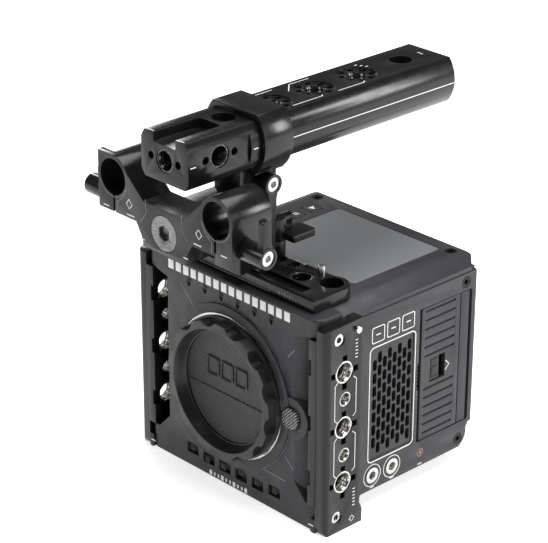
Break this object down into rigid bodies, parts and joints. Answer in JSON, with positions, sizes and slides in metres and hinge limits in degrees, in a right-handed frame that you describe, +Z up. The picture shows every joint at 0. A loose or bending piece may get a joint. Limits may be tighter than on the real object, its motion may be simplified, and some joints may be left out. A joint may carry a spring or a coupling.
{
  "type": "cinema camera rig",
  "caption": "Box-shaped cinema camera in a half cage, with a lens-mount cap, a double rod clamp and a sliding top bar handle.",
  "frame": {"origin": "centre of the tripod socket, on the plane that the base plate and rail feet stand on", "axes": "+Z up, -Y the way the lens looks, +X to the right when the camera is seen from its front"},
  "size_m": [0.1148, 0.1488, 0.1681],
  "materials": {
    "body_grey": "satin",
    "anodised_black": "satin",
    "stainless": "brushed",
    "cap_plastic": "matte",
    "key_plastic": "matte",
    "screen_glass": "smooth",
    "sensor_filter": "smooth",
    "board_green": "matte",
    "heat_sink_metal": "satin",
    "gold_contacts": "smooth",
    "led_lens": "gloss"
  },
  "bodies": {
    "camera_and_cage": {"front_panel": "body_grey", "top_cover": "body_grey", "right_side_cover": "body_grey", "left_side_cover": "body_grey", "back_plate": "body_grey", "base_plate": "body_grey", "body_shell": "body_grey", "exhaust_grille": "body_grey", "door_hinge_pin": "stainless", "lens_mount": "stainless", "mount_screws": "stainless", "lcd_glass": "screen_glass", "battery_contacts": "gold_contacts", "video_connector": "stainless", "power_connector": "stainless", "control_connector": "stainless", "audio_jacks": "stainless", "status_led": "led_lens", "cover_screws": "stainless", "tripod_inserts": "stainless", "thread_inserts": "stainless", "sensor_block": "heat_sink_metal", "sensor_glass": "sensor_filter", "sensor_board": "board_green", "heat_sink": "heat_sink_metal", "fan_frame": "cap_plastic", "main_board": "board_green", "card_slot": "stainless", "right_rail": "anodised_black", "left_rail": "anodised_black", "rail_screws": "stainless", "cage_dowels": "stainless", "cage_top_plate": "anodised_black", "top_plate_screws": "anodised_black", "riser_post": "anodised_black", "rod_bracket": "anodised_black", "bracket_bolt": "stainless", "post_hub": "anodised_black", "handle_collar": "anodised_black"},
    "body_cap": {"body_cap": "cap_plastic"},
    "mount_release": {"mount_release_button": "anodised_black", "lock_pin": "stainless"},
    "play_button": {"play_button": "key_plastic"},
    "mode_button": {"mode_button": "key_plastic"},
    "media_door": {"media_door": "body_grey"},
    "door_latch": {"door_latch": "key_plastic"},
    "record_button": {"record_button": "key_plastic"},
    "power_button": {"power_button": "key_plastic"},
    "battery_release_left": {"battery_release_left": "key_plastic"},
    "battery_release_right": {"battery_release_right": "key_plastic"},
    "fan_rotor": {"fan_rotor": "cap_plastic"},
    "right_rod_lever": {"right_rod_lever": "anodised_black", "right_rod_screw": "stainless"},
    "left_rod_lever": {"left_rod_lever": "anodised_black", "left_rod_screw": "stainless"},
    "collar_lever": {"collar_lever": "anodised_black", "collar_screw": "stainless"},
    "post_lever": {"post_lever": "anodised_black"},
    "handle_bar": {"handle_bar": "anodised_black", "handle_inserts": "stainless"}
  },
  "joints": [
    {"name": "cap_twist", "type": "hinge", "parent": "camera_and_cage", "child": "body_cap", "pos_m": [0, -0.04, 0.0475], "axis": [0, 1, 0], "range_deg": [0, 60]},
    {"name": "mount_release_press", "type": "slide", "parent": "camera_and_cage", "child": "mount_release", "axis": [0, 1, 0], "range_m": [0, 0.0015], "stiffness_N_per_m": 400},
    {"name": "play_press", "type": "slide", "parent": "camera_and_cage", "child": "play_button", "axis": [0, 0, -1], "range_m": [0, 0.0008], "stiffness_N_per_m": 300},
    {"name": "mode_press", "type": "slide", "parent": "camera_and_cage", "child": "mode_button", "axis": [0, 0, -1], "range_m": [0, 0.0008], "stiffness_N_per_m": 300},
    {"name": "media_door_swing", "type": "hinge", "parent": "camera_and_cage", "child": "media_door", "pos_m": [0.04905, 0.0485, 0.0501], "axis": [0, 0, 1], "range_deg": [0, 95]},
    {"name": "door_latch_slide", "type": "slide", "parent": "media_door", "child": "door_latch", "axis": [0, 1, 0], "range_m": [0, 0.003]},
    {"name": "record_press", "type": "slide", "parent": "camera_and_cage", "child": "record_button", "axis": [1, 0, 0], "range_m": [0, 0.0008], "stiffness_N_per_m": 300},
    {"name": "power_press", "type": "slide", "parent": "camera_and_cage", "child": "power_button", "axis": [1, 0, 0], "range_m": [0, 0.0008], "stiffness_N_per_m": 300},
    {"name": "left_battery_release_slide", "type": "slide", "parent": "camera_and_cage", "child": "battery_release_left", "axis": [0, 0, -1], "range_m": [0, 0.002], "stiffness_N_per_m": 200},
    {"name": "right_battery_release_slide", "type": "slide", "parent": "camera_and_cage", "child": "battery_release_right", "axis": [0, 0, -1], "range_m": [0, 0.002], "stiffness_N_per_m": 200},
    {"name": "fan_spin", "type": "hinge", "parent": "camera_and_cage", "child": "fan_rotor", "pos_m": [0.04015, 0.004, 0.0465], "axis": [1, 0, 0], "continuous": true},
    {"name": "right_rod_clamp", "type": "hinge", "parent": "camera_and_cage", "child": "right_rod_lever", "pos_m": [0.0452, -0.0664, 0.1296], "axis": [1, 0, 0], "range_deg": [-60, 90]},
    {"name": "left_rod_clamp", "type": "hinge", "parent": "camera_and_cage", "child": "left_rod_lever", "pos_m": [-0.0452, -0.0664, 0.1296], "axis": [1, 0, 0], "range_deg": [-60, 90]},
    {"name": "collar_clamp", "type": "hinge", "parent": "camera_and_cage", "child": "collar_lever", "pos_m": [0.0114, -0.029, 0.138], "axis": [1, 0, 0], "range_deg": [-70, 70]},
    {"name": "post_lever_turn", "type": "hinge", "parent": "camera_and_cage", "child": "post_lever", "pos_m": [0.0015, -0.015, 0.11], "axis": [0, 0, 1], "range_deg": [0, 90]},
    {"name": "handle_slide", "type": "slide", "parent": "camera_and_cage", "child": "handle_bar", "axis": [0, 1, 0], "range_m": [-0.03, 0.03]}
  ]
}
